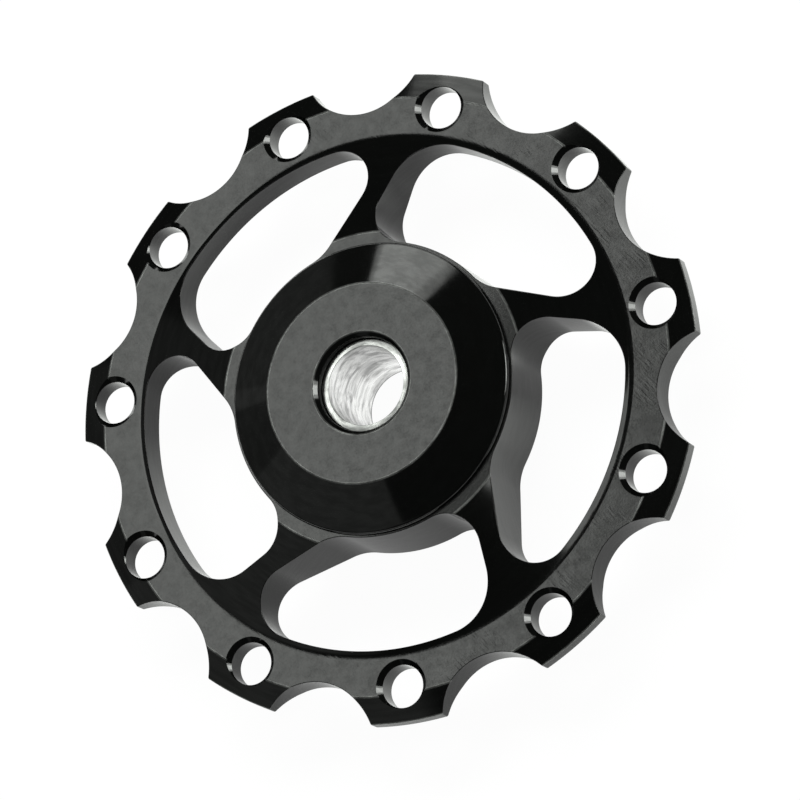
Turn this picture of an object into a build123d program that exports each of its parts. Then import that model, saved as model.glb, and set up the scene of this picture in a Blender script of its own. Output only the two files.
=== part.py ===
"""Derailleur jockey wheel: toothed wheel, sealed ball bearing, axle sleeve and two conical caps.

The wheel lies flat on its rear cap. The origin is the middle of the bore, on the wheel's
mid-plane, +Z is the axle's axis and points out of the front cap, and the first tooth is on +X.
"""

import os
from math import cos, radians, sin, tan

from build123d import *

os.makedirs("parts", exist_ok=True)

# Chain and teeth
chain_pitch = 12.7
tooth_count = 11
roller_seat_r = 4.0
tooth_height = 2.43
tip_thickness = 0.9
tip_corner_r = 0.12
tooth_bevel = 1.67
tooth_hole_r = 1.36
tooth_hole_inset = 2.2
tooth_hole_sink = 0.32
tooth_sink_angle = 45

# Rim, spokes and hub
rim_thickness = 2.0
rim_depth = 1.72
rim_ledge = 0.41
web_blend_r = 2.0
hub_wall = 2.0
hub_land = 0.66
seat_chamfer = 0.2
spoke_count = 5
spoke_phase = -20.0
spoke_offset = 5.07
spoke_root_width = 2.32
spoke_taper = 5.1
wide_corner_r = 3.3
tight_corner_r = 2.2

# Ball bearing
bearing_bore = 6.0
bearing_od = 15.0
bearing_width = 5.0
ring_chamfer = 0.2
ball_d = 2.381
ball_count = 7
race_play = 0.04
race_gap = 1.6
pocket_play = 0.05
cage_thickness = 0.2
cage_side_gap = 0.25
rivet_r = 0.2
rivet_head_r = 0.38
rivet_head_t = 0.12
rivet_play = 0.01
seal_thickness = 0.3
seal_setback = 0.2
seal_bite = 0.15
seal_play = 0.03
seal_lip_gap = 0.1
seal_seat_depth = 0.55
seal_dish = 0.08

# Axle sleeve and caps
bolt_bore_r = 2.55
sleeve_recess = 0.75
sleeve_play = 0.01
sleeve_outer_chamfer = 0.1
sleeve_inner_chamfer = 0.12
width_over_caps = 8.3
cap_face_r = 6.42
cap_rim_inset = 0.15
cap_rim_height = 0.25
cap_rim_round = 0.2
cap_hub_gap = 0.1
cap_hole_play = 0.02
cap_hole_chamfer = 0.3
cap_boss_wall = 1.1
cap_relief = 0.3
cap_lip_width = 1.6

# Derived sizes
pitch_r = chain_pitch / (2 * sin(radians(180 / tooth_count)))
root_r = pitch_r - roller_seat_r
tip_r = root_r + tooth_height
bevel_start_r = tip_r - tooth_bevel
tooth_hole_circle_r = tip_r - tooth_hole_inset
rim_half = rim_thickness / 2
rim_inner_r = root_r - rim_depth
opening_outer_r = rim_inner_r - rim_ledge
seat_r = bearing_od / 2
hub_r = seat_r + hub_wall
hub_face_r = hub_r + hub_land
hub_half = bearing_width / 2

ball_r = ball_d / 2
ball_circle_r = (bearing_bore + bearing_od) / 4
race_r = ball_r + race_play
inner_shoulder_r = ball_circle_r - race_gap / 2
outer_shoulder_r = ball_circle_r + race_gap / 2
seal_outer_face = hub_half - seal_setback
seal_inner_face = seal_outer_face - seal_thickness
seal_mouth_r = outer_shoulder_r + seal_seat_depth
seal_groove_r = seal_mouth_r + seal_bite
seal_lip_r = inner_shoulder_r - seal_lip_gap
seal_track_r = seal_lip_r - seal_lip_gap

cap_face_z = width_over_caps / 2
sleeve_half = cap_face_z - sleeve_recess
sleeve_r = bearing_bore / 2 - sleeve_play
cap_rim_r = hub_r - cap_rim_inset
cap_bottom_z = hub_half + cap_hub_gap
cap_shoulder_z = cap_bottom_z + cap_rim_height
cap_hole_r = sleeve_r + cap_hole_play
cap_boss_r = cap_hole_r + cap_boss_wall


def both_sides(upper):
    """Closed section: the points above the mid-plane, then the same points below it."""
    return upper + [(r, -z) for r, z in reversed(upper)]


def save(part, name):
    """Label a finished piece and write its file."""
    part.label = name
    export_step(part, f"parts/{name}.step")


# Opening between two spokes: a ring's sector, with wide corners where its sides meet the
# circles at an open angle and tight ones where they meet at a sharp angle
back_face_turn = -360 / spoke_count - spoke_taper
turn_cos = cos(radians(back_face_turn))
turn_sin = sin(radians(back_face_turn))
apex = (
    (spoke_offset * turn_cos - spoke_offset - spoke_root_width) / turn_sin,
    spoke_offset,
)
reach = 2 * opening_outer_r

with BuildSketch() as opening:
    Circle(opening_outer_r)
    Circle(hub_r, mode=Mode.SUBTRACT)
    with BuildLine():
        Polyline(
            apex,
            (apex[0] + reach, apex[1]),
            (apex[0] + reach * turn_cos, apex[1] + reach * turn_sin),
            close=True,
        )
    make_face(mode=Mode.INTERSECT)
    corners = opening.vertices().sort_by_distance((0, 0))
    hub_corners = corners[:2].sort_by(Axis.Y)
    rim_corners = corners[2:].sort_by(Axis.Y)
    fillet([hub_corners[0], rim_corners[1]], wide_corner_r)
    fillet(opening.vertices().sort_by_distance(apex)[0], tight_corner_r)
    fillet(opening.vertices().sort_by_distance(rim_corners[0])[0], tight_corner_r)

# Wheel: a turned blank with its openings, roller seats and a hole in each tooth
with BuildPart() as wheel:
    with BuildSketch(Plane.XZ) as blank:
        with BuildLine():
            Polyline(
                *both_sides(
                    [
                        (seat_r, hub_half - seat_chamfer),
                        (seat_r + seat_chamfer, hub_half),
                        (hub_face_r, hub_half),
                        (rim_inner_r, rim_half),
                        (bevel_start_r, rim_half),
                        (tip_r, tip_thickness / 2),
                    ]
                ),
                close=True,
            )
        make_face()
        fillet(blank.vertices().group_by(Axis.X)[3], web_blend_r)
    revolve(axis=Axis.Z)

    with BuildSketch():
        with PolarLocations(0, spoke_count, start_angle=spoke_phase):
            add(opening.sketch)
        with PolarLocations(pitch_r, tooth_count, start_angle=180 / tooth_count):
            Circle(roller_seat_r)
    extrude(amount=hub_half, both=True, mode=Mode.SUBTRACT)
    upright_edges = wheel.edges().filter_by(Axis.Z)
    fillet(upright_edges.group_by(lambda e: e.center().length, tol_digits=3)[-1], tip_corner_r)
    for face_plane in (Plane.XY, -Plane.XY):
        with BuildSketch(face_plane.offset(rim_half)):
            with PolarLocations(tooth_hole_circle_r, tooth_count):
                Circle(tooth_hole_r + tooth_hole_sink * tan(radians(tooth_sink_angle)))
        extrude(amount=-tooth_hole_sink, taper=tooth_sink_angle, mode=Mode.SUBTRACT)
    with PolarLocations(tooth_hole_circle_r, tooth_count):
        Hole(tooth_hole_r)
save(wheel.part, "wheel")

# Ball bearing: two grooved rings, balls in a riveted ribbon cage, and a seal on each side
with BuildPart() as bearing_outer_ring:
    with BuildSketch(Plane.XZ) as section:
        with BuildLine():
            Polyline(
                *both_sides(
                    [
                        (seat_r, hub_half),
                        (seal_mouth_r, hub_half),
                        (seal_mouth_r, seal_outer_face + seal_play),
                        (seal_groove_r, seal_outer_face + seal_play),
                        (seal_groove_r, seal_inner_face - seal_play),
                        (outer_shoulder_r, seal_inner_face - seal_play),
                    ]
                ),
                close=True,
            )
        make_face()
        chamfer(section.vertices().group_by(Axis.X)[-1], ring_chamfer)
        with Locations((ball_circle_r, 0)):
            Circle(race_r, mode=Mode.SUBTRACT)
    revolve(axis=Axis.Z)
save(bearing_outer_ring.part, "bearing_outer_ring")

with BuildPart() as bearing_inner_ring:
    with BuildSketch(Plane.XZ) as section:
        with BuildLine():
            Polyline(
                *both_sides(
                    [
                        (bearing_bore / 2, hub_half),
                        (seal_track_r, hub_half),
                        (seal_track_r, seal_inner_face - seal_play),
                        (inner_shoulder_r, seal_inner_face - seal_play),
                    ]
                ),
                close=True,
            )
        make_face()
        chamfer(section.vertices().group_by(Axis.X)[0], ring_chamfer)
        with Locations((ball_circle_r, 0)):
            Circle(race_r, mode=Mode.SUBTRACT)
    revolve(axis=Axis.Z)
save(bearing_inner_ring.part, "bearing_inner_ring")

ball_step = 360 / ball_count
for number in range(ball_count):
    with BuildPart() as ball:
        with PolarLocations(ball_circle_r, 1, start_angle=number * ball_step):
            Sphere(ball_r)
    save(ball.part, f"ball_{number + 1}")

# Each half is a pressed strip: flat between the balls and domed over them
pocket_r = ball_r + pocket_play
cage_inner_r = inner_shoulder_r + cage_side_gap
cage_outer_r = outer_shoulder_r - cage_side_gap
for side, direction in (("front", 1), ("rear", -1)):
    with BuildPart() as cage_half:
        with PolarLocations(ball_circle_r, ball_count):
            Sphere(pocket_r + cage_thickness)
        Cylinder(cage_outer_r, 2 * cage_thickness)
        with BuildSketch():
            Circle(cage_outer_r)
            Circle(cage_inner_r, mode=Mode.SUBTRACT)
            with PolarLocations(ball_circle_r, ball_count, start_angle=ball_step / 2):
                Circle(rivet_r + rivet_play, mode=Mode.SUBTRACT)
        extrude(amount=direction * seal_inner_face, mode=Mode.INTERSECT)
        with PolarLocations(ball_circle_r, ball_count):
            Sphere(pocket_r, mode=Mode.SUBTRACT)
    save(cage_half.part, f"cage_{side}_half")

for number in range(ball_count):
    with BuildPart() as rivet:
        with PolarLocations(ball_circle_r, 1, start_angle=(number + 0.5) * ball_step):
            Cylinder(rivet_r, 2 * cage_thickness)
            with Locations((0, 0, cage_thickness), (0, 0, -cage_thickness - rivet_head_t)):
                Cylinder(
                    rivet_head_r,
                    rivet_head_t,
                    align=(Align.CENTER, Align.CENTER, Align.MIN),
                )
    save(rivet.part, f"cage_rivet_{number + 1}")

for side, direction in (("front", 1), ("rear", -1)):
    with BuildPart() as seal:
        with BuildSketch(Plane.XZ):
            with BuildLine():
                Polyline(
                    (seal_lip_r, direction * seal_inner_face),
                    (seal_groove_r - seal_play, direction * seal_inner_face),
                    (seal_groove_r - seal_play, direction * seal_outer_face),
                    (seal_mouth_r - seal_play, direction * seal_outer_face),
                    (outer_shoulder_r, direction * (seal_outer_face - seal_dish)),
                    (inner_shoulder_r, direction * (seal_outer_face - seal_dish)),
                    (seal_lip_r, direction * seal_outer_face),
                    close=True,
                )
            make_face()
        revolve(axis=Axis.Z)
    save(seal.part, f"{side}_seal")

# Axle sleeve: clamped by the cage bolt, it carries the inner ring and both caps
with BuildPart() as sleeve:
    with BuildSketch(Plane.XZ) as section:
        with Locations(((bolt_bore_r + sleeve_r) / 2, 0)):
            Rectangle(sleeve_r - bolt_bore_r, 2 * sleeve_half)
        chamfer(section.vertices().group_by(Axis.X)[0], sleeve_inner_chamfer)
        chamfer(section.vertices().group_by(Axis.X)[-1], sleeve_outer_chamfer)
    revolve(axis=Axis.Z)
save(sleeve.part, "sleeve")

# Caps: each seats on the inner ring, and its edge stands just clear of the turning hub
for side, direction in (("front", 1), ("rear", -1)):
    with BuildPart() as cap:
        with BuildSketch(Plane.XZ) as section:
            with BuildLine():
                Polyline(
                    (cap_hole_r, direction * hub_half),
                    (cap_hole_r, direction * cap_face_z),
                    (cap_face_r, direction * cap_face_z),
                    (cap_rim_r, direction * cap_shoulder_z),
                    (cap_rim_r, direction * cap_bottom_z),
                    (cap_rim_r - cap_lip_width, direction * cap_bottom_z),
                    (cap_rim_r - cap_lip_width, direction * (cap_bottom_z + cap_relief)),
                    (cap_boss_r, direction * (cap_bottom_z + cap_relief)),
                    (cap_boss_r, direction * hub_half),
                    close=True,
                )
            make_face()
            corners = section.vertices()
            hole_corner = corners.sort_by_distance((cap_hole_r, direction * cap_face_z))[0]
            chamfer(hole_corner, cap_hole_chamfer)
            corners = section.vertices()
            rim_corner = corners.sort_by_distance((cap_rim_r, direction * cap_shoulder_z))[0]
            fillet(rim_corner, cap_rim_round)
        revolve(axis=Axis.Z)
    save(cap.part, f"{side}_cap")
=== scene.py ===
"""Looks of a derailleur jockey wheel: turned and milled anodised aluminium around a sealed bearing.

Run as a script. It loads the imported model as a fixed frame, models the wheel, the caps and the
sleeve again with soft edges, finishes every piece and sets up the studio.
"""

from math import atan2, ceil, copysign, cos, hypot, pi, radians, sin, sqrt, tan

import bmesh
import bpy
from mathutils import Matrix, Quaternion, Vector


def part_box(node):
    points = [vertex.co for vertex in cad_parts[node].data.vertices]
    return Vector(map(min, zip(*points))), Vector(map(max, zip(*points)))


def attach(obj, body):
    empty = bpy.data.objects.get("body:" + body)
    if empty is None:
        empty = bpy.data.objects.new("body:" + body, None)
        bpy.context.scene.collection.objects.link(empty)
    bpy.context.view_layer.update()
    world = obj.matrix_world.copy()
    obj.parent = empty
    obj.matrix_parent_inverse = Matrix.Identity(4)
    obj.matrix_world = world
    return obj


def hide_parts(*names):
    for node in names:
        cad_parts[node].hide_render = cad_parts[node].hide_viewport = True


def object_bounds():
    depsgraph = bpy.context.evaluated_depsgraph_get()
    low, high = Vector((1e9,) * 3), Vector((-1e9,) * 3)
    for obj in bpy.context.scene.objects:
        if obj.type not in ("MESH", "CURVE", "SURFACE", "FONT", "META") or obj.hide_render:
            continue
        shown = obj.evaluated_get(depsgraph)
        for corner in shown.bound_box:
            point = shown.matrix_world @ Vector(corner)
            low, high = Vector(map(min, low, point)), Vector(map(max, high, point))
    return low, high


bl_info = {
    "name": "Derailleur jockey wheel",
    "version": (1, 0, 0),
    "blender": (4, 5, 0),
    "location": "View3D > Sidebar > Jockey wheel",
    "description": "Models and finishes an eleven-tooth jockey wheel, its bearing, sleeve and caps",
    "category": "Object",
}

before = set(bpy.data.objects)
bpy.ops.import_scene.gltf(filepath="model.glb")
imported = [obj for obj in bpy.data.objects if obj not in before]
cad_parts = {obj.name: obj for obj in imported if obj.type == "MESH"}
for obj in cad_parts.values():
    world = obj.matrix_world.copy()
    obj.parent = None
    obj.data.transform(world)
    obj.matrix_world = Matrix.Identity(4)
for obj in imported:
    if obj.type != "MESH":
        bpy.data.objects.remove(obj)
cad_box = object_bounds()

MM = 0.001
FRONT_AND_BACK = (1, -1)

# How finely round shapes are divided
SEGMENTS_PER_TOOTH = 40
CAP_SEGMENTS = 384
SLEEVE_SEGMENTS = 256
OUTLINE_STEP = 0.16 * MM

# A milled edge: the angles of its rounding, then how far the cutter runs out beside the edge and
# over the face, in roundings
EDGE_ANGLES = (0, 35, 65, 85)
EDGE_RUN_OUT = 1.8
EDGE_OVERSHOOT = 0.4

# The photograph's camera in the wheel's frame: its place, and two of its axes
CAMERA_PLACE = (117.0311 * MM, -114.3412 * MM, 319.757 * MM)
CAMERA_RIGHT = (0.89721, -0.19568, -0.39589)
CAMERA_BACK = (0.32399, -0.31748, 0.8912)


def length(name, description, default):
    """A size in metres that a user may change."""
    return bpy.props.FloatProperty(
        name=name, description=description, default=default, min=0.0, precision=5,
        subtype="DISTANCE", unit="LENGTH",
    )


def turn(name, description, default):
    """An angle that a user may change."""
    return bpy.props.FloatProperty(
        name=name, description=description, default=default, subtype="ANGLE", unit="ROTATION",
    )


def share(name, description, default):
    """A plain number from 0 to 1."""
    return bpy.props.FloatProperty(
        name=name, description=description, default=default, min=0.0, max=1.0, subtype="FACTOR",
    )


def colour(name, description, default):
    """A colour that a user may change."""
    return bpy.props.FloatVectorProperty(
        name=name, description=description, default=default, size=3, min=0.0, max=1.0,
        subtype="COLOR",
    )


def strength(name, description, default):
    """How bright a lamp's surface is; the floor is 1."""
    return bpy.props.FloatProperty(name=name, description=description, default=default, min=0.0)


class JockeyWheelSizes(bpy.types.PropertyGroup):
    """The toothed wheel. What isn't here comes from the frame."""

    chain_pitch: length("Chain pitch", "Distance between the chain's rollers", 12.7 * MM)
    tooth_count: bpy.props.IntProperty(name="Teeth", description="Number of teeth", default=11)
    seat_radius: length("Roller seat", "Radius of the seat between two teeth", 4.0 * MM)
    tip_thickness: length("Tip thickness", "Width of the land on a tooth's tip", 0.9 * MM)
    tip_corner: length("Tip corner", "Rounding between a tip and its seats", 0.12 * MM)
    tooth_bevel: length("Tooth bevel", "Depth of the cone on the teeth's faces", 1.67 * MM)
    hole_radius: length("Tooth hole", "Radius of the hole in a tooth", 1.36 * MM)
    hole_inset: length("Hole inset", "From the tip to the hole's middle", 2.2 * MM)
    hole_sink: length("Hole sink", "Depth of the hole's countersink", 0.32 * MM)
    rim_thickness: length("Rim thickness", "Thickness of the flat rim", 2.0 * MM)
    rim_depth: length("Rim depth", "From the seat's foot to the web", 1.72 * MM)
    rim_ledge: length("Rim ledge", "Web left outside the openings", 0.41 * MM)
    web_blend: length("Web blend", "Radius where the rim meets the web", 2.0 * MM)
    hub_wall: length("Hub wall", "Wall round the bearing", 2.0 * MM)
    hub_land: length("Hub land", "Flat face left outside the hub's wall", 0.66 * MM)
    seat_chamfer: length("Seat chamfer", "Chamfer of the bearing's seat", 0.2 * MM)
    spoke_count: bpy.props.IntProperty(name="Spokes", description="Number of spokes", default=5)
    spoke_phase: turn("Spoke phase", "Turn of the first opening", radians(-20))
    spoke_offset: length("Spoke offset", "How far a spoke passes the axis", 5.07 * MM)
    spoke_root: length("Spoke root", "Width of a spoke at its root", 2.32 * MM)
    spoke_taper: turn("Spoke taper", "Angle between a spoke's sides", radians(5.1))
    wide_corner: length("Wide corner", "Radius of an opening's wide corners", 3.3 * MM)
    tight_corner: length("Tight corner", "Radius of its tight corners", 2.2 * MM)
    edge_round: length("Edge round", "Rounding of the cut edges", 0.05 * MM)
    cone_edge_round: length("Cone edge", "Rounding between flats and cones", 0.03 * MM)


class JockeyAxleSizes(bpy.types.PropertyGroup):
    """The caps and the sleeve. Their outsides come from the frame."""

    bolt_bore: length("Bolt bore", "Radius of the sleeve's bore", 2.55 * MM)
    sleeve_outer_chamfer: length("Sleeve outer chamfer", "On the sleeve's ends", 0.04 * MM)
    sleeve_inner_chamfer: length("Sleeve inner chamfer", "In the sleeve's bore", 0.02 * MM)
    sleeve_edge_round: length("Sleeve edge", "Rounding of that chamfer's edges", 0.007 * MM)
    cap_face: length("Cap face", "Radius of the cap's flat face", 6.42 * MM)
    cap_hole: length("Cap hole", "Radius of the cap's hole", 3.01 * MM)
    cap_hole_chamfer: length("Cap hole chamfer", "Round the cap's hole", 0.3 * MM)
    cap_hole_round: length("Cap hole rounding", "Where that chamfer meets the hole", 0.1 * MM)
    cap_edge_round: length("Cap edge", "Rounding round the flat face", 0.03 * MM)
    cap_gap: length("Cap gap", "Between the cap's lip and the hub", 0.1 * MM)
    cap_rim_height: length("Cap rim", "Height of the cap's straight edge", 0.25 * MM)
    cap_rim_round: length("Cap rim rounding", "Radius over that edge", 0.3 * MM)
    cap_lip: length("Cap lip", "Width of the lip under the edge", 1.6 * MM)
    cap_relief: length("Cap relief", "Depth of the hollow behind the lip", 0.3 * MM)
    cap_boss_wall: length("Cap boss", "Wall of the boss on the inner ring", 1.1 * MM)


class JockeyFinish(bpy.types.PropertyGroup):
    """Colours and gloss."""

    anodise: colour("Anodise", "Black anodised aluminium", (0.0035, 0.0038, 0.0034))
    anodise_gloss: share("Anodise roughness", "Where it is glossiest", 0.08)
    mottle: share("Mottle", "How much rougher the dull spots of the flat faces are", 0.14)
    seal_coat: share("Seal coat", "Clear seal of the anodising, where it is thickest", 0.35)
    sleeve: colour("Sleeve", "Bare machined aluminium", (0.97, 0.98, 0.96))
    sleeve_gloss: share("Sleeve roughness", "Where it is glossiest", 0.22)
    steel: colour("Steel", "Ground bearing steel", (0.56, 0.56, 0.55))
    ring_gloss: share("Ring roughness", "Of the bearing's rings", 0.18)
    ball_gloss: share("Ball roughness", "Of the polished balls", 0.05)
    cage: colour("Cage", "Pressed steel strip", (0.5, 0.48, 0.44))
    cage_gloss: share("Cage roughness", "Of the pressed cage", 0.32)
    seal: colour("Seal", "Nitrile rubber", (0.018, 0.018, 0.02))
    floor: colour("Floor", "Pale sweep", (0.9, 0.9, 0.9))


class JockeyStudio(bpy.types.PropertyGroup):
    """Camera, lamps, floor and surround."""

    lens: bpy.props.FloatProperty(name="Lens", description="Focal length, mm", default=257.15)
    sensor: bpy.props.FloatProperty(name="Sensor", description="Its width, mm", default=36.0)
    lamp_colour: colour("Lamp colour", "Of every lamp", (0.97, 1.0, 0.96))
    key: strength("Key", "High at the back left; the flat faces mirror it", 2.37)
    back_high: strength("Back, high", "Behind; the cap's cone mirrors it", 1.95)
    back_low: strength("Back, low", "Behind; the upper teeth's cones mirror it", 1.3065)
    side: strength("Side", "On the right; it lights the countersinks", 4.0)
    side_hot: strength("Side, hot", "The middle of the side lamp", 6.0)
    fill: strength("Fill", "Faint, on the left", 0.108)
    fill_wide: strength("Fill, wide", "Fainter, round the fill", 0.09)
    fill_low: strength("Fill, low", "Faint, low at the back left", 0.12)
    overhead: strength("Overhead", "Mirrored by the flat faces seen from above", 2.2)
    floor_lamp: strength("Floor lamp", "Lights only the floor", 16.0)
    floor_seen: share("Floor seen", "How much of the floor the camera sees as white", 0.97)
    floor_mirrored: share("Floor mirrored", "How bright the floor is in mirrored rays", 0.35)
    # Painted light: within this radius of the axis the floor glows white in mirrored rays, so the
    # bore shows a painted reflection.
    glowing_floor_spot: length("Bright floor", "Radius of the white spot under the bore", 3.0 * MM)
    room_colour: colour("Room", "Surround in mirrored rays", (0.9, 0.95, 0.93))
    room: strength("Room", "How bright the surround is in mirrored rays", 0.035)


# Selecting and turning

def only(obj):
    """Makes obj the one selected, active object."""
    bpy.ops.object.select_all(action="DESELECT")
    obj.select_set(True)
    bpy.context.view_layer.objects.active = obj


def pick(obj, kind, test):
    """In edit mode, selects the faces or edges that pass the test, and nothing else."""
    bpy.ops.mesh.select_mode(type="FACE" if kind == "faces" else "EDGE")
    bpy.ops.mesh.select_all(action="DESELECT")
    mesh = bmesh.from_edit_mesh(obj.data)
    for part in [part for part in getattr(mesh, kind) if test(part)]:
        part.select_set(True)
    bmesh.update_edit_mesh(obj.data)


def on_loop(edge, radius, height):
    """Whether an edge lies on the circle of that radius and height."""
    close = 2e-6
    return all(
        abs(hypot(v.co.x, v.co.y) - radius) < close and abs(v.co.z - height) < close
        for v in edge.verts
    )


def turned(name, segments, radius, low, high, front, back):
    """A turned piece: a cylinder whose ends are inset ring by ring, (radius, height) each,
    down to the bore, which then joins them."""
    bpy.ops.object.select_all(action="DESELECT")
    bpy.ops.mesh.primitive_cylinder_add(
        vertices=segments, radius=radius, depth=high - low, location=(0, 0, (high + low) / 2)
    )
    piece = bpy.context.object
    piece.name = name
    bpy.ops.object.transform_apply(location=True, rotation=False, scale=False)
    bpy.ops.object.mode_set(mode="EDIT")
    for side, height, rings in ((1, high, front), (-1, low, back)):
        pick(piece, "faces", lambda f: f.normal.z * side > 0.99 and len(f.verts) == segments)
        ring_radius = radius
        for next_radius, next_height in rings:
            if next_radius == ring_radius:
                move = {"value": (0, 0, next_height - height)}
                bpy.ops.mesh.extrude_region_move(TRANSFORM_OT_translate=move)
            else:
                bpy.ops.mesh.inset(
                    thickness=ring_radius - next_radius, depth=(next_height - height) * side
                )
            ring_radius, height = next_radius, next_height
        bpy.ops.mesh.delete(type="FACE")
    pick(piece, "edges", lambda e: e.is_boundary)
    bpy.ops.mesh.bridge_edge_loops()
    bpy.ops.object.mode_set(mode="OBJECT")
    return piece


def soften(piece, loops, width, segments):
    """Bevels the given circles, (radius, height) each, to that width on each side."""
    only(piece)
    bpy.ops.object.mode_set(mode="EDIT")
    pick(piece, "edges", lambda e: any(on_loop(e, r, z) for r, z in loops))
    bpy.ops.mesh.bevel(offset=width, segments=segments, affect="EDGES", clamp_overlap=False)
    bpy.ops.object.mode_set(mode="OBJECT")


def apply_modifier(piece, kind, **settings):
    """Adds a modifier with these settings and applies it."""
    only(piece)
    modifier = piece.modifiers.new(kind.title(), kind)
    for key, value in settings.items():
        setattr(modifier, key, value)
    bpy.ops.object.modifier_apply(modifier=modifier.name)


def smooth(piece, angle):
    """Smooth shading up to that angle, with normals that follow the larger faces. They are
    weighed in millimetres, because the modifier takes areas this small in metres for none."""
    only(piece)
    bpy.ops.object.shade_smooth_by_angle(angle=angle)
    piece.data.transform(Matrix.Scale(1 / MM, 4))
    apply_modifier(piece, "WEIGHTED_NORMAL", mode="FACE_AREA", weight=50, keep_sharp=True)
    piece.data.transform(Matrix.Scale(MM, 4))


def true_normals(piece, slopes):
    """Gives the turned faces of these slopes, flat or conical, their own normals. The weighted
    ones stray where a cut leaves a sliver beside a large face."""
    sideways_limit, slope_limit = 0.01, 5e-4
    mesh = piece.data
    normals = [corner.vector.copy() for corner in mesh.corner_normals]
    for face in mesh.polygons:
        middle, normal = face.center, face.normal
        sideways = abs(normal.x * middle.y - normal.y * middle.x) / middle.xy.length
        for slope in slopes:
            if sideways > sideways_limit or abs(abs(normal.z) - cos(slope)) > slope_limit:
                continue
            for corner in face.loop_indices:
                place = mesh.vertices[mesh.loops[corner].vertex_index].co
                across = place.xy.normalized() * sin(slope)
                normals[corner] = Vector((*across, copysign(cos(slope), normal.z)))
    mesh.normals_split_custom_set(normals)


# Outlines and cutters

def arc(centre, radius, start, end, step):
    """Points of an arc, about one step apart, from one angle to the other."""
    count = max(2, ceil(abs(end - start) * radius / step))
    angles = [start + (end - start) * k / count for k in range(count + 1)]
    return [(centre[0] + radius * cos(a), centre[1] + radius * sin(a)) for a in angles]


def angle_of(point, centre):
    """Direction of a point seen from a centre."""
    return atan2(point[1] - centre[1], point[0] - centre[0])


def short_arc(centre, radius, first, last, step):
    """The arc between two points that takes the shorter way round."""
    start, end = angle_of(first, centre), angle_of(last, centre)
    if end - start > pi:
        end -= 2 * pi
    if start - end > pi:
        end += 2 * pi
    return arc(centre, radius, start, end, step)


def corner_centre(start, direction, inward, radius, reach):
    """Centre of a fillet between a side, from start along direction, and a circle round the
    axis, where reach is the centre's distance from the axis."""
    base = (start[0] + radius * inward[0], start[1] + radius * inward[1])
    along = base[0] * direction[0] + base[1] * direction[1]
    off = base[0] ** 2 + base[1] ** 2 - reach ** 2
    run = -along + sqrt(along ** 2 - off)
    return (base[0] + run * direction[0], base[1] + run * direction[1])


def opening_outline(sizes, hub_r, rim_r):
    """Outline of the first opening, counter-clockwise: hub arc, rim arc, two sides and four
    rounded corners."""
    turn_back = -2 * pi / sizes.spoke_count - sizes.spoke_taper
    lean = (cos(turn_back), sin(turn_back))
    apex_x = (sizes.spoke_offset * lean[0] - sizes.spoke_offset - sizes.spoke_root) / lean[1]
    apex = (apex_x, sizes.spoke_offset)
    upper, lower = (1.0, 0.0), lean
    into_upper, into_lower = (0.0, -1.0), (-lean[1], lean[0])

    def corner(direction, inward, radius, circle, outside):
        """Centre, radius, and the ends on the side and on the circle. outside is 1 or -1."""
        centre = corner_centre(apex, direction, inward, radius, circle + outside * radius)
        on_side = (centre[0] - radius * inward[0], centre[1] - radius * inward[1])
        scale = circle / hypot(*centre)
        return centre, radius, on_side, (centre[0] * scale, centre[1] * scale)

    def rounding(corner_found, side_first):
        """The corner's arc, from its side or towards it."""
        centre, radius, on_side, on_circle = corner_found
        ends = (on_side, on_circle) if side_first else (on_circle, on_side)
        return short_arc(centre, radius, *ends, OUTLINE_STEP)

    def along(radius, first, last):
        """The arc round the axis between two corners."""
        return short_arc((0.0, 0.0), radius, first[3], last[3], OUTLINE_STEP)

    hub_low = corner(lower, into_lower, sizes.wide_corner, hub_r, 1)
    hub_high = corner(upper, into_upper, sizes.tight_corner, hub_r, 1)
    rim_low = corner(lower, into_lower, sizes.tight_corner, rim_r, -1)
    rim_high = corner(upper, into_upper, sizes.wide_corner, rim_r, -1)
    pieces = [
        rounding(rim_low, True), along(rim_r, rim_low, rim_high), rounding(rim_high, False),
        rounding(hub_high, True), along(hub_r, hub_high, hub_low), rounding(hub_low, False),
    ]
    return without_doubles([point for piece in pieces for point in piece])


def seat_outline(sizes, pitch_r, tip_r):
    """Outline that cuts one roller seat on +X, counter-clockwise, with rounded tip corners."""
    seat, corner = sizes.seat_radius, sizes.tip_corner
    centre = (pitch_r, 0.0)
    reach, gap = tip_r - corner, seat + corner
    x = (reach ** 2 - gap ** 2 + pitch_r ** 2) / (2 * pitch_r)
    y = sqrt(reach ** 2 - x ** 2)
    foot = (pitch_r + (x - pitch_r) * seat / gap, y * seat / gap)
    crest = (x * tip_r / reach, y * tip_r / reach)
    rounding = short_arc((x, y), corner, foot, crest, OUTLINE_STEP / 6)[:-1]
    start = angle_of(foot, centre)
    seat_arc = arc(centre, seat, start, 2 * pi - start, OUTLINE_STEP)
    run_out = Vector(rounding[-1]) - Vector(rounding[-2])
    far = Vector(rounding[-1]) + run_out.normalized() * seat / 4
    upper = [tuple(far)] + rounding[::-1]
    lower = [(px, -py) for px, py in reversed(upper)]
    back = [(pitch_r + seat, lower[-1][1]), (pitch_r + seat, upper[0][1])]
    return without_doubles(upper + seat_arc[1:-1] + lower + back)


def without_doubles(points):
    """The points without those that repeat the one before them."""
    close = 1e-7
    before = [points[-1]] + points[:-1]
    return [p for p, q in zip(points, before) if hypot(p[0] - q[0], p[1] - q[1]) > close]


def outward(points):
    """Unit normals at the points of a counter-clockwise outline."""
    normals = []
    for k in range(len(points)):
        before, after = points[k - 1], points[(k + 1) % len(points)]
        run = (after[0] - before[0], after[1] - before[1])
        size = hypot(*run)
        normals.append((run[1] / size, -run[0] / size))
    return normals


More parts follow.
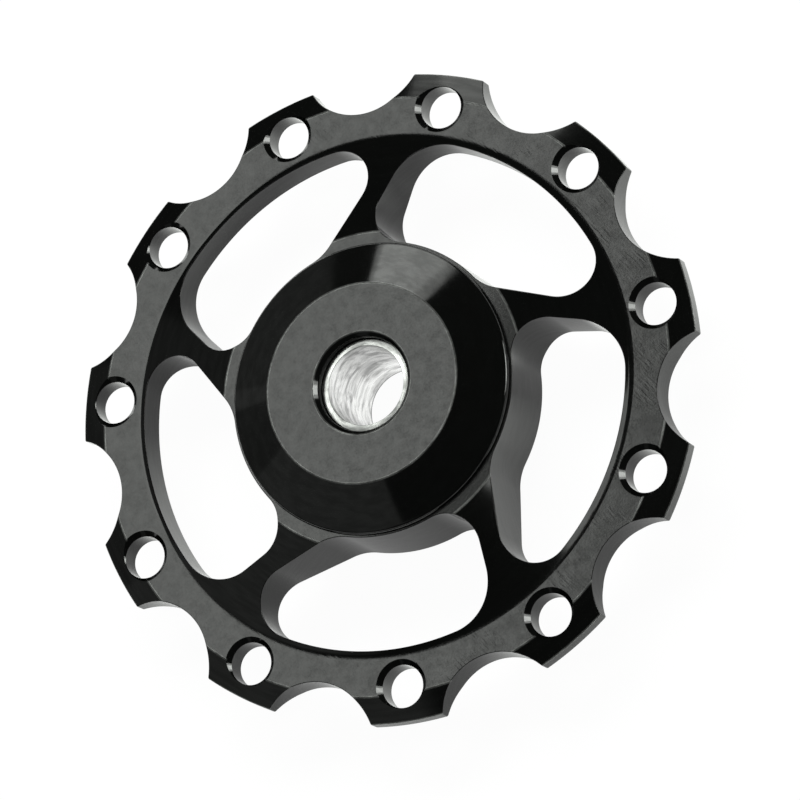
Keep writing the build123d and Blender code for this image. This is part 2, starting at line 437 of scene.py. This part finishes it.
def profile_height(rings):
    """Height of the wheel's turned face at a radius, as a function."""

    def height(radius):
        for (outer, high), (inner, low) in zip(rings, rings[1:]):
            if inner <= radius <= outer:
                part = (radius - inner) / (outer - inner)
                return low + (high - low) * part
        return rings[0][1] if radius > rings[0][0] else rings[-1][1]

    return height


def edge_flare(edge, height, above):
    """Steps of a cutter that rounds the edges it leaves, then runs out over the face."""
    steps = [(edge * (1 - cos(a)), edge * (1 - sin(a))) for a in map(radians, EDGE_ANGLES)]
    steps.append((edge * EDGE_RUN_OUT, -edge * EDGE_OVERSHOOT))
    flare = [(offset, lambda r, d=drop: height(r) - d) for offset, drop in steps]
    flare.append((edge * EDGE_RUN_OUT, lambda r: above))
    return flare


def cutter(name, outline, steps):
    """A closed cutter through the wheel. Each step gives an offset from the outline and the
    height there, as a function of the radius, for the front; the back mirrors it."""
    normals = outward(outline)
    front = []
    for offset, height in steps:
        ring = [(x + nx * offset, y + ny * offset) for (x, y), (nx, ny) in zip(outline, normals)]
        front.append([(x, y, height(hypot(x, y))) for x, y in ring])
    rings = [[(x, y, -z) for x, y, z in ring] for ring in reversed(front)] + front
    count = len(outline)
    verts = [point for ring in rings for point in ring]
    faces = [tuple(reversed(range(count)))]
    for k in range(len(rings) - 1):
        low, high = k * count, (k + 1) * count
        for i in range(count):
            j = (i + 1) % count
            faces.append((low + i, low + j, high + j, high + i))
    faces.append(tuple(range((len(rings) - 1) * count, len(rings) * count)))
    mesh = bpy.data.meshes.new(name)
    mesh.from_pydata(verts, [], faces)
    tool = bpy.data.objects.new(name, mesh)
    bpy.context.scene.collection.objects.link(tool)
    return tool


def copies(tool, count, first):
    """Turned copies of a cutter round the axis, the tool itself included."""
    tools = [tool]
    for _ in range(count - 1):
        twin = tool.copy()
        twin.data = tool.data.copy()
        bpy.context.scene.collection.objects.link(twin)
        tools.append(twin)
    for k, twin in enumerate(tools):
        twin.data.transform(Matrix.Rotation(first + 2 * pi * k / count, 4, "Z"))
    return tools


def cut(piece, tools):
    """Joins the cutters and takes them out of the piece."""
    bpy.ops.object.select_all(action="DESELECT")
    for tool in tools:
        tool.select_set(True)
    bpy.context.view_layer.objects.active = tools[0]
    bpy.ops.object.join()
    apply_modifier(piece, "BOOLEAN", operation="DIFFERENCE", solver="EXACT", object=tools[0])
    bpy.data.objects.remove(tools[0])


# Nodes

def new_material(name):
    """An empty node material and its tree."""
    material = bpy.data.materials.new(name)
    material.use_nodes = True
    material.node_tree.nodes.clear()
    return material, material.node_tree


def add(tree, kind, inputs=None, **settings):
    """Adds a node, sets its properties and fills or links its inputs."""
    node = tree.nodes.new(kind)
    for key, value in settings.items():
        setattr(node, key, value)
    for key, value in (inputs or {}).items():
        if isinstance(value, bpy.types.NodeSocket):
            tree.links.new(value, node.inputs[key])
        else:
            node.inputs[key].default_value = value
    return node


def math(tree, operation, a, b=0.0):
    """One sum, and its result."""
    return add(tree, "ShaderNodeMath", {0: a, 1: b}, operation=operation).outputs[0]


def vector(tree, operation, a, b=None, output="Vector"):
    """One sum with vectors, and its result. SCALE takes a number as b."""
    inputs = {0: a}
    if b is not None:
        inputs["Scale" if operation == "SCALE" else 1] = b
    return add(tree, "ShaderNodeVectorMath", inputs, operation=operation).outputs[output]


def part_of(tree, place, axis):
    """One coordinate of a place."""
    return add(tree, "ShaderNodeSeparateXYZ", {0: place}).outputs[axis]


def noise(tree, place, scale, detail=3.0, roughness=0.5, output="Fac"):
    """Value of a noise, where the place is in millimetres and scale is per millimetre."""
    inputs = {"Vector": place, "Scale": scale, "Detail": detail, "Roughness": roughness}
    return add(tree, "ShaderNodeTexNoise", inputs).outputs[output]


def ramp(tree, value, low, high, to_low=0.0, to_high=1.0):
    """The value carried from one range to another, and held at its ends."""
    inputs = {"Value": value, 1: low, 2: high, 3: to_low, 4: to_high}
    return add(tree, "ShaderNodeMapRange", inputs).outputs[0]


def bump(tree, height, depth, under=None):
    """A bump of that depth in millimetres."""
    inputs = {"Height": height, "Distance": depth * MM, "Strength": 1.0}
    if under is not None:
        inputs["Normal"] = under
    return add(tree, "ShaderNodeBump", inputs).outputs[0]


def blend(tree, factor, low, high, kind="FLOAT"):
    """Between two numbers, or between two colours, by the factor."""
    first, second, out = (6, 7, 2) if kind == "RGBA" else (2, 3, 0)
    inputs = {"Factor": factor, first: low, second: high}
    return add(tree, "ShaderNodeMix", inputs, data_type=kind).outputs[out]


def rgba(value, scale=1.0):
    """A colour with alpha."""
    return (value[0] * scale, value[1] * scale, value[2] * scale, 1.0)


def finish_material(tree, shader):
    """Links a shader to the material's output."""
    add(tree, "ShaderNodeOutputMaterial", {"Surface": shader.outputs[0]})


def place_in_mm(tree):
    """Object coordinates in millimetres."""
    metres = add(tree, "ShaderNodeTexCoord").outputs["Object"]
    return vector(tree, "SCALE", metres, 1 / MM)


def from_axis(tree, place):
    """The vector from the axis to a place, and its length."""
    flat = vector(tree, "MULTIPLY", place, (1, 1, 0))
    return flat, vector(tree, "LENGTH", flat, output="Value")


def turning_marks(tree, place, per_turn, per_mm):
    """Coordinates for marks left by turning: long round the axis, short across it."""
    flat, radius = from_axis(tree, place)
    slow = vector(tree, "SCALE", vector(tree, "NORMALIZE", flat), per_turn)
    across = math(tree, "ADD", radius, part_of(tree, place, "Z"))
    rise = add(tree, "ShaderNodeCombineXYZ", {"Z": math(tree, "MULTIPLY", across, per_mm)})
    return vector(tree, "ADD", slow, rise.outputs[0])


# Materials

def along_circle(tree, radius, height, circle, reach):
    """1 on the circle of that radius and height, front or back, fading to 0 a reach away."""
    off_side = math(tree, "SUBTRACT", radius, circle[0])
    off_up = math(tree, "SUBTRACT", math(tree, "ABSOLUTE", height), circle[1])
    both = add(tree, "ShaderNodeCombineXYZ", {"X": off_side, "Y": off_up}).outputs[0]
    off = vector(tree, "LENGTH", both, output="Value")
    return ramp(tree, off, reach * 0.4, reach, 1.0, 0.0)


def worn_edges(tree, place, circles):
    """Where these edges, (radius, height) in millimetres, are rubbed towards the metal: here
    more, there less."""
    radius = from_axis(tree, place)[1]
    height = part_of(tree, place, "Z")
    reach = 0.1
    wear = 0.0
    for circle in circles:
        line = along_circle(tree, radius, height, circle, reach)
        wear = math(tree, "MAXIMUM", wear, line)
    patchy = ramp(tree, noise(tree, place, 0.8, 5.0, 0.7), 0.4, 0.62, 0.16, 0.5)
    return math(tree, "MULTIPLY", wear, patchy)


def milled_strokes(tree, place, flat):
    """Slanting strokes of the cutter, in patches on the flat faces."""
    slant = {"Rotation": (0, 0, radians(-57)), "Scale": (1.2, 0.2, 1.0)}
    slanted = add(
        tree, "ShaderNodeMapping", {"Vector": place, **slant}, vector_type="TEXTURE"
    ).outputs[0]
    strokes = ramp(tree, noise(tree, slanted, 1.0, 2.0), 0.42, 0.6)
    patches = ramp(tree, noise(tree, place, 0.55, 2.0), 0.5, 0.62)
    return math(tree, "MULTIPLY", strokes, math(tree, "MULTIPLY", patches, flat))


def rubbed_land(tree, place, flat):
    """The part of the hub's flat land that is rubbed rough: the arc towards +X and -Y."""
    radius = from_axis(tree, place)[1]
    land_inner, land_outer = 10.3, 10.8
    on_land = math(tree, "MULTIPLY", flat, ramp(tree, radius, land_inner, land_outer, 1.0, 0.0))
    aside = vector(tree, "DOT_PRODUCT", place, (0.77, -0.64, 0), "Value")
    return math(tree, "MULTIPLY", on_land, ramp(tree, aside, 2.0, 7.0))


def anodised(name, finish, worn_circles, milled):
    """Black anodised aluminium. The flat faces are mottled, and the cones are glossier, with
    broken turning lines that fade on the walls. A milled piece has cutter strokes on its flat
    faces and a rubbed arc on its hub. The worn circles are the edges that worn_edges takes."""
    material, tree = new_material(name)
    place = place_in_mm(tree)
    facing = add(tree, "ShaderNodeTexCoord").outputs["Normal"]
    facing_up = math(tree, "ABSOLUTE", part_of(tree, facing, "Z"))
    flat = ramp(tree, facing_up, 0.988, 0.998)
    lined = ramp(tree, facing_up, 0.05, 0.4, 0.3, 1.0)
    lines = noise(tree, turning_marks(tree, place, 7.0, 4.6), 1.0, 3.0, 0.6)
    streaks = blend(tree, lined, 0.5, ramp(tree, lines, 0.38, 0.62))
    mottle = ramp(tree, noise(tree, place, 1.4, 7.0, 0.72), 0.37, 0.63)
    grain = noise(tree, place, 8.0, 3.0, 0.65)
    cloudy = blend(tree, 0.4, mottle, ramp(tree, grain, 0.35, 0.65))
    marks = blend(tree, flat, streaks, cloudy)
    glossy = finish.anodise_gloss
    rough = blend(tree, flat, glossy, glossy + finish.mottle)
    gloss = ramp(tree, marks, 0, 1, rough, glossy)
    normal = bump(tree, math(tree, "MULTIPLY", lines, lined), 0.0006)
    normal = bump(tree, math(tree, "MULTIPLY", grain, flat), 0.003, normal)
    if milled:
        normal = bump(tree, milled_strokes(tree, place, flat), 0.0035, normal)
        rubbed = rubbed_land(tree, place, flat)
        gloss = blend(tree, rubbed, gloss, ramp(tree, grain, 0.35, 0.65, 0.5, 0.26))
        normal = bump(tree, math(tree, "MULTIPLY", grain, rubbed), 0.012, normal)
        marks = blend(tree, rubbed, marks, 0.0)
    wear = worn_edges(tree, place, worn_circles)
    bare = rgba(finish.sleeve, 0.5)
    shader = add(
        tree, "ShaderNodeBsdfPrincipled",
        {"Base Color": blend(tree, wear, rgba(finish.anodise), bare, "RGBA"), "Metallic": wear,
         "Roughness": blend(tree, wear, gloss, 0.5), "IOR": 1.5, "Normal": normal,
         "Coat Weight": math(tree, "MULTIPLY", marks, finish.seal_coat), "Coat Roughness": 0.08},
    )
    finish_material(tree, shader)
    return material


def machined(name, base, roughness):
    """The sleeve's bare metal: round-and-round tool marks, smeared here and there, with painted
    shade darkening the sides of the bore's front half, and a painted shadow line at its far end."""
    material, tree = new_material(name)
    place = place_in_mm(tree)
    smear = vector(tree, "SCALE", noise(tree, place, 0.45, 2.0, output="Color"), 2.2)
    swirled = vector(tree, "ADD", turning_marks(tree, place, 1.6, 1.9), smear)
    marks = noise(tree, swirled, 1.0, 6.0, 0.62)
    tone = ramp(tree, marks, 0.38, 0.58, 0.42, 1.0)

    # Painted shade: the base colour is darkened at the sides of the bore's front half, away from a
    # band at y = 0.6 mm.
    bright_y, bright_half, shade_half = 0.6, 0.9, 1.9
    shade_back, shade_front = -1.2, -0.2
    # Painted shadow: a dark line in the base colour at the bore's far end, where the sleeve meets
    # the floor.
    shadow_back, shadow_front = -3.36, -3.2
    height = part_of(tree, place, "Z")
    off_bright = math(tree, "SUBTRACT", part_of(tree, place, "Y"), bright_y)
    at_side = ramp(tree, math(tree, "ABSOLUTE", off_bright), bright_half, shade_half)
    painted_shade = math(tree, "MULTIPLY", at_side, ramp(tree, height, shade_back, shade_front))
    painted_shadow = ramp(tree, height, shadow_back, shadow_front, 0.12, 1.0)
    shade = math(tree, "MULTIPLY", painted_shadow, ramp(tree, painted_shade, 0, 1, 1.0, 0.58))
    bright = math(tree, "MULTIPLY", shade, tone)
    shader = add(
        tree, "ShaderNodeBsdfPrincipled",
        {"Base Color": blend(tree, bright, (0, 0, 0, 1), rgba(base), "RGBA"), "Metallic": 1.0,
         "Roughness": ramp(tree, marks, 0.3, 0.7, roughness + 0.12, roughness),
         "Normal": bump(tree, marks, 0.006)},
    )
    finish_material(tree, shader)
    return material


def ground(name, base, roughness, per_mm):
    """Ground or pressed steel: fine lines round the axis and faint clouding."""
    material, tree = new_material(name)
    place = place_in_mm(tree)
    lines = noise(tree, turning_marks(tree, place, 5.0, per_mm), 1.0, 3.0)
    cloud = noise(tree, place, 0.8, 3.0)
    shader = add(
        tree, "ShaderNodeBsdfPrincipled",
        {"Base Color": blend(tree, cloud, rgba(base, 0.85), rgba(base), "RGBA"), "Metallic": 1.0,
         "Roughness": ramp(tree, lines, 0.3, 0.7, roughness, roughness + 0.1),
         "Normal": bump(tree, lines, 0.0008)},
    )
    finish_material(tree, shader)
    return material


def rubber(name, base):
    """Moulded nitrile rubber: matt, finely pitted, with a bloom of grey."""
    material, tree = new_material(name)
    place = place_in_mm(tree)
    pits = noise(tree, place, 12.0, 3.0)
    bloom = ramp(tree, noise(tree, place, 0.7, 4.0), 0.4, 0.7)
    shader = add(
        tree, "ShaderNodeBsdfPrincipled",
        {"Base Color": blend(tree, bloom, rgba(base), rgba(base, 1.8), "RGBA"), "IOR": 1.52,
         "Roughness": ramp(tree, pits, 0.3, 0.7, 0.5, 0.68), "Normal": bump(tree, pits, 0.004)},
    )
    finish_material(tree, shader)
    return material


def floor_paper(base, studio):
    """Pale floor that takes a soft shadow. It is white to the camera, and grey in mirrored
    rays but for a painted glowing spot under the bore, which the bore mirrors as a painted
    reflection."""
    material, tree = new_material("floor_paper")
    paths = add(tree, "ShaderNodeLightPath").outputs
    mirrored = math(tree, "MAXIMUM", paths["Is Glossy Ray"], paths["Is Transmission Ray"])
    place = add(tree, "ShaderNodeTexCoord").outputs["Object"]
    reach = vector(tree, "LENGTH", place, output="Value")
    # Painted light: a glowing spot of floor under the bore, seen only in mirrored rays.
    glowing_spot_under_bore = math(tree, "LESS_THAN", reach, studio.glowing_floor_spot)
    level = ramp(tree, glowing_spot_under_bore, 0.0, 1.0, studio.floor_mirrored, 1.0)
    seen = math(tree, "MAXIMUM", paths["Is Camera Ray"], math(tree, "MULTIPLY", mirrored, level))
    glow = add(tree, "ShaderNodeEmission", {"Color": (1, 1, 1, 1), "Strength": 1.0}).outputs[0]
    paper = add(tree, "ShaderNodeBsdfDiffuse", {"Color": rgba(base)}).outputs[0]
    glowing = math(tree, "MULTIPLY", seen, studio.floor_seen)
    finish_material(tree, add(tree, "ShaderNodeMixShader", {0: glowing, 1: paper, 2: glow}))
    return material


def dress(obj, material):
    """Gives a piece its material."""
    obj.data.materials.clear()
    obj.data.materials.append(material)


# Pieces

class JOCKEY_OT_wheel(bpy.types.Operator):
    """Model the toothed wheel: a turned blank with milled openings, seats and tooth holes"""

    bl_idname = "jockey.wheel"
    bl_label = "Toothed wheel"

    def execute(self, context):
        sizes = context.scene.jockey_wheel
        finish = context.scene.jockey_finish
        pitch_r = sizes.chain_pitch / (2 * sin(pi / sizes.tooth_count))
        root_r = pitch_r - sizes.seat_radius
        tip_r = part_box("wheel")[1].x
        bevel_r = tip_r - sizes.tooth_bevel
        web_r = root_r - sizes.rim_depth
        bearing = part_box("bearing_outer_ring")[1]
        seat_r, hub_half = bearing.x, bearing.z
        hub_r = seat_r + sizes.hub_wall
        face_r = hub_r + sizes.hub_land
        rim_half = sizes.rim_thickness / 2
        tip_half = sizes.tip_thickness / 2
        chamfer = sizes.seat_chamfer
        edge = sizes.edge_round

        rings = [(bevel_r, rim_half), (web_r, rim_half), (face_r, hub_half),
                 (seat_r + chamfer, hub_half), (seat_r, hub_half - chamfer)]
        segments = sizes.tooth_count * SEGMENTS_PER_TOOTH
        wheel = turned(
            "jockey_wheel", segments, tip_r, -tip_half, tip_half,
            rings, [(r, -z) for r, z in rings],
        )
        web_slope = atan2(hub_half - rim_half, web_r - face_r)
        tooth_slope = atan2(rim_half - tip_half, tip_r - bevel_r)
        for side in FRONT_AND_BACK:
            soften(wheel, [(web_r, side * rim_half)], sizes.web_blend * tan(web_slope / 2), 6)
            sharp = [(tip_r, side * tip_half), (seat_r + chamfer, side * hub_half)]
            soften(wheel, sharp, edge, 3)
            blunt = [(bevel_r, side * rim_half), (face_r, side * hub_half)]
            soften(wheel, blunt, sizes.cone_edge_round, 2)

        height = profile_height([(tip_r, tip_half)] + rings)
        flare = edge_flare(edge, height, above=hub_half + 1 * MM)
        outline = opening_outline(sizes, hub_r, web_r - sizes.rim_ledge)
        tools = copies(cutter("opening", outline, flare), sizes.spoke_count, sizes.spoke_phase)
        outline = seat_outline(sizes, pitch_r, tip_r)
        half_tooth = pi / sizes.tooth_count
        tools += copies(cutter("seat", outline, flare), sizes.tooth_count, half_tooth)
        sink = sizes.hole_sink
        countersink = [(0, lambda r: rim_half - sink), (sink, lambda r: rim_half),
                       (sink * 2, lambda r: rim_half + sink)]
        middle = (tip_r - sizes.hole_inset, 0.0)
        outline = arc(middle, sizes.hole_radius, 0, 2 * pi, OUTLINE_STEP * 0.6)[:-1]
        tools += copies(cutter("hole", outline, countersink), sizes.tooth_count, 0)
        cut(wheel, tools)
        if len(wheel.data.polygons) < segments:
            raise RuntimeError("the wheel's cuts failed")
        smooth(wheel, radians(40))
        true_normals(wheel, (0.0, web_slope, tooth_slope))
        worn = [(bevel_r, rim_half), (face_r, hub_half), (tip_r, tip_half)]
        worn = [(r / MM, z / MM) for r, z in worn]
        dress(wheel, anodised("black_anodised_wheel", finish, worn, True))
        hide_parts("wheel")
        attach(wheel, "wheel")
        return {"FINISHED"}


class JOCKEY_OT_caps(bpy.types.Operator):
    """Model the two conical caps"""

    bl_idname = "jockey.caps"
    bl_label = "Caps"

    def execute(self, context):
        sizes = context.scene.jockey_axle
        finish = context.scene.jockey_finish
        ring_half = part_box("bearing_inner_ring")[1].z
        cap_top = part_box("front_cap")[1]
        rim_r, face_z = cap_top.x, cap_top.z
        hole_r, chamfer = sizes.cap_hole, sizes.cap_hole_chamfer
        bottom = ring_half + sizes.cap_gap
        shoulder = bottom + sizes.cap_rim_height
        relief = bottom + sizes.cap_relief
        boss_r = hole_r + sizes.cap_boss_wall
        lip_r = rim_r - sizes.cap_lip
        bend = pi / 2 - atan2(face_z - shoulder, rim_r - sizes.cap_face)
        front = [(sizes.cap_face, face_z), (hole_r + chamfer, face_z), (hole_r, face_z - chamfer)]
        back = [(lip_r, bottom), (lip_r, relief), (boss_r, relief), (boss_r, ring_half),
                (hole_r, ring_half)]
        flat_edges = [(sizes.cap_face, face_z), (hole_r + chamfer, face_z)]
        worn = [(r / MM, z / MM) for r, z in flat_edges]
        material = anodised("black_anodised_cap", finish, worn, False)
        for side, name in zip(FRONT_AND_BACK, ("front_cap", "rear_cap")):
            cap = turned("conical_" + name, CAP_SEGMENTS, rim_r, bottom, shoulder, front, back)
            soften(cap, [(rim_r, shoulder)], sizes.cap_rim_round * tan(bend / 2), 10)
            soften(cap, [(hole_r, face_z - chamfer)], sizes.cap_hole_round, 5)
            for circle in flat_edges:
                soften(cap, [circle], sizes.cap_edge_round, 3)
            if side < 0:
                cap.data.transform(Matrix.Rotation(pi, 4, "X"))
            smooth(cap, radians(35))
            dress(cap, material)
            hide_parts(name)
            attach(cap, "axle")
        return {"FINISHED"}


class JOCKEY_OT_sleeve(bpy.types.Operator):
    """Model the axle sleeve"""

    bl_idname = "jockey.sleeve"
    bl_label = "Sleeve"

    def execute(self, context):
        sizes = context.scene.jockey_axle
        finish = context.scene.jockey_finish
        sleeve_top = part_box("sleeve")[1]
        radius, half = sleeve_top.x, sleeve_top.z
        outer, inner = sizes.sleeve_outer_chamfer, sizes.sleeve_inner_chamfer
        bore = sizes.bolt_bore
        rings = [(radius - outer, half), (bore + inner, half), (bore, half - inner)]
        sleeve = turned(
            "axle_sleeve", SLEEVE_SEGMENTS, radius, -half + outer, half - outer,
            rings, [(r, -z) for r, z in rings],
        )
        for side in FRONT_AND_BACK:
            bore_edge = [(bore + inner, side * half), (bore, side * (half - inner))]
            soften(sleeve, bore_edge, sizes.sleeve_edge_round, 2)
        smooth(sleeve, radians(50))
        metal = machined("machined_sleeve", finish.sleeve, finish.sleeve_gloss)
        dress(sleeve, metal)
        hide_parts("sleeve")
        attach(sleeve, "axle")
        return {"FINISHED"}


class JOCKEY_OT_bearing(bpy.types.Operator):
    """Finish the bearing's rings, balls, cage, rivets and seals"""

    bl_idname = "jockey.bearing"
    bl_label = "Bearing"

    def execute(self, context):
        finish = context.scene.jockey_finish
        ring = ground("ground_ring", finish.steel, finish.ring_gloss, 14.0)
        ball = ground("polished_ball", finish.steel, finish.ball_gloss, 1.0)
        cage = ground("pressed_cage", finish.cage, finish.cage_gloss, 5.0)
        seal = rubber("seal_rubber", finish.seal)
        for name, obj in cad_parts.items():
            if name.startswith("bearing_"):
                dress(obj, ring)
            elif name.startswith("ball_"):
                dress(obj, ball)
            elif name.startswith("cage_"):
                dress(obj, cage)
            elif name.endswith("_seal"):
                dress(obj, seal)
        return {"FINISHED"}


# Studio

def lamp(name, azimuth, elevation, wide, high, radiance, tilt=0):
    """A rectangular lamp half a metre away. All the angles are in degrees: its direction from
    +X, its height over the floor, and how wide and high it looks from the wheel."""
    distance = 0.5
    around, up = radians(azimuth), radians(elevation)
    towards = Vector((cos(around) * cos(up), sin(around) * cos(up), sin(up)))
    data = bpy.data.lights.new(name, "AREA")
    data.shape = "RECTANGLE"
    data.size = 2 * distance * tan(radians(wide / 2))
    data.size_y = 2 * distance * tan(radians(high / 2))
    data.energy = radiance * pi * data.size * data.size_y
    data.color = bpy.context.scene.jockey_studio.lamp_colour
    light = bpy.data.objects.new(name, data)
    light.location = towards * distance
    light.rotation_mode = "QUATERNION"
    spin = Quaternion((0, 0, 1), radians(tilt))
    light.rotation_quaternion = towards.to_track_quat("Z", "Y") @ spin
    bpy.context.scene.collection.objects.link(light)
    return light


def surround(studio):
    """A room that is white to the camera and dark in mirrored rays."""
    world = bpy.data.worlds.new("room")
    world.use_nodes = True
    tree = world.node_tree
    tree.nodes.clear()
    seen = add(tree, "ShaderNodeLightPath").outputs["Is Camera Ray"]
    tint = blend(tree, seen, rgba(studio.room_colour), (1, 1, 1, 1), "RGBA")
    level = math(tree, "MAXIMUM", seen, studio.room)
    room = add(tree, "ShaderNodeBackground", {"Color": tint, "Strength": level})
    add(tree, "ShaderNodeOutputWorld", {"Surface": room.outputs[0]})
    return world


def photo_camera(studio):
    """The photograph's camera."""
    data = bpy.data.cameras.new("camera")
    data.lens = studio.lens
    data.sensor_width = studio.sensor
    data.clip_start, data.clip_end = 0.01, 10.0
    back = Vector(CAMERA_BACK).normalized()
    up = back.cross(Vector(CAMERA_RIGHT)).normalized()
    axes = Matrix((up.cross(back), up, back)).transposed().to_4x4()
    camera = bpy.data.objects.new("camera", data)
    bpy.context.scene.collection.objects.link(camera)
    camera.matrix_world = Matrix.Translation(CAMERA_PLACE) @ axes
    return camera


class JOCKEY_OT_stage(bpy.types.Operator):
    """Set up the floor, the lamps and the camera"""

    bl_idname = "jockey.stage"
    bl_label = "Stage"

    def execute(self, context):
        scene = context.scene
        studio = scene.jockey_studio
        bpy.ops.object.select_all(action="DESELECT")
        bpy.ops.mesh.primitive_circle_add(
            vertices=128, radius=2.0, fill_type="NGON", location=(0, 0, cad_box[0].z)
        )
        floor = bpy.context.object
        floor.name = "floor"
        floor.data.materials.append(floor_paper(scene.jockey_finish.floor, studio))

        lamp("key", 140.2, 55.7, 25.0, 25.0, studio.key, tilt=14)
        lamp("back_high", 86.7, 33.2, 15.2, 24.6, studio.back_high, tilt=25)
        lamp("back_low", 83.4, 20.8, 24.8, 30.5, studio.back_low, tilt=-7)
        lamp("side", 6.0, 22.0, 26.0, 20.0, studio.side)
        lamp("side_hot", 6.0, 23.0, 14.0, 11.0, studio.side_hot)
        lamp("fill", 205.0, 44.0, 56.0, 32.0, studio.fill)
        lamp("fill_wide", 196.0, 38.0, 88.0, 50.0, studio.fill_wide)
        lamp("fill_low", 133.0, 9.0, 44.0, 22.0, studio.fill_low)
        lamp("overhead", 35.0, 86.0, 17.0, 17.0, studio.overhead)
        floor_lamp = lamp("floor_lamp", 88.0, 50.0, 45.0, 22.0, studio.floor_lamp)
        lit = bpy.data.collections.new("lit_by_floor_lamp")
        lit.objects.link(floor)
        floor_lamp.light_linking.receiver_collection = lit

        scene.world = surround(studio)
        scene.camera = photo_camera(studio)
        scene.view_settings.view_transform = "Standard"
        return {"FINISHED"}


class JOCKEY_PT_panel(bpy.types.Panel):
    """Lists the steps that build the jockey wheel."""

    bl_label = "Jockey wheel"
    bl_idname = "JOCKEY_PT_panel"
    bl_space_type = "VIEW_3D"
    bl_region_type = "UI"
    bl_category = "Jockey wheel"

    def draw(self, context):
        for step in STEPS:
            self.layout.operator(step.bl_idname)


GROUPS = {
    "jockey_wheel": JockeyWheelSizes,
    "jockey_axle": JockeyAxleSizes,
    "jockey_finish": JockeyFinish,
    "jockey_studio": JockeyStudio,
}
STEPS = (JOCKEY_OT_wheel, JOCKEY_OT_caps, JOCKEY_OT_sleeve, JOCKEY_OT_bearing, JOCKEY_OT_stage)


def register():
    for group in GROUPS.values():
        bpy.utils.register_class(group)
    for step in STEPS:
        bpy.utils.register_class(step)
    bpy.utils.register_class(JOCKEY_PT_panel)
    for name, group in GROUPS.items():
        setattr(bpy.types.Scene, name, bpy.props.PointerProperty(type=group))


def unregister():
    for name in GROUPS:
        delattr(bpy.types.Scene, name)
    bpy.utils.unregister_class(JOCKEY_PT_panel)
    for step in reversed(STEPS):
        bpy.utils.unregister_class(step)
    for group in reversed(GROUPS.values()):
        bpy.utils.unregister_class(group)


def main():
    register()
    bpy.ops.jockey.wheel()
    bpy.ops.jockey.caps()
    bpy.ops.jockey.sleeve()
    bpy.ops.jockey.bearing()
    bpy.ops.jockey.stage()


if __name__ == "__main__":
    main()
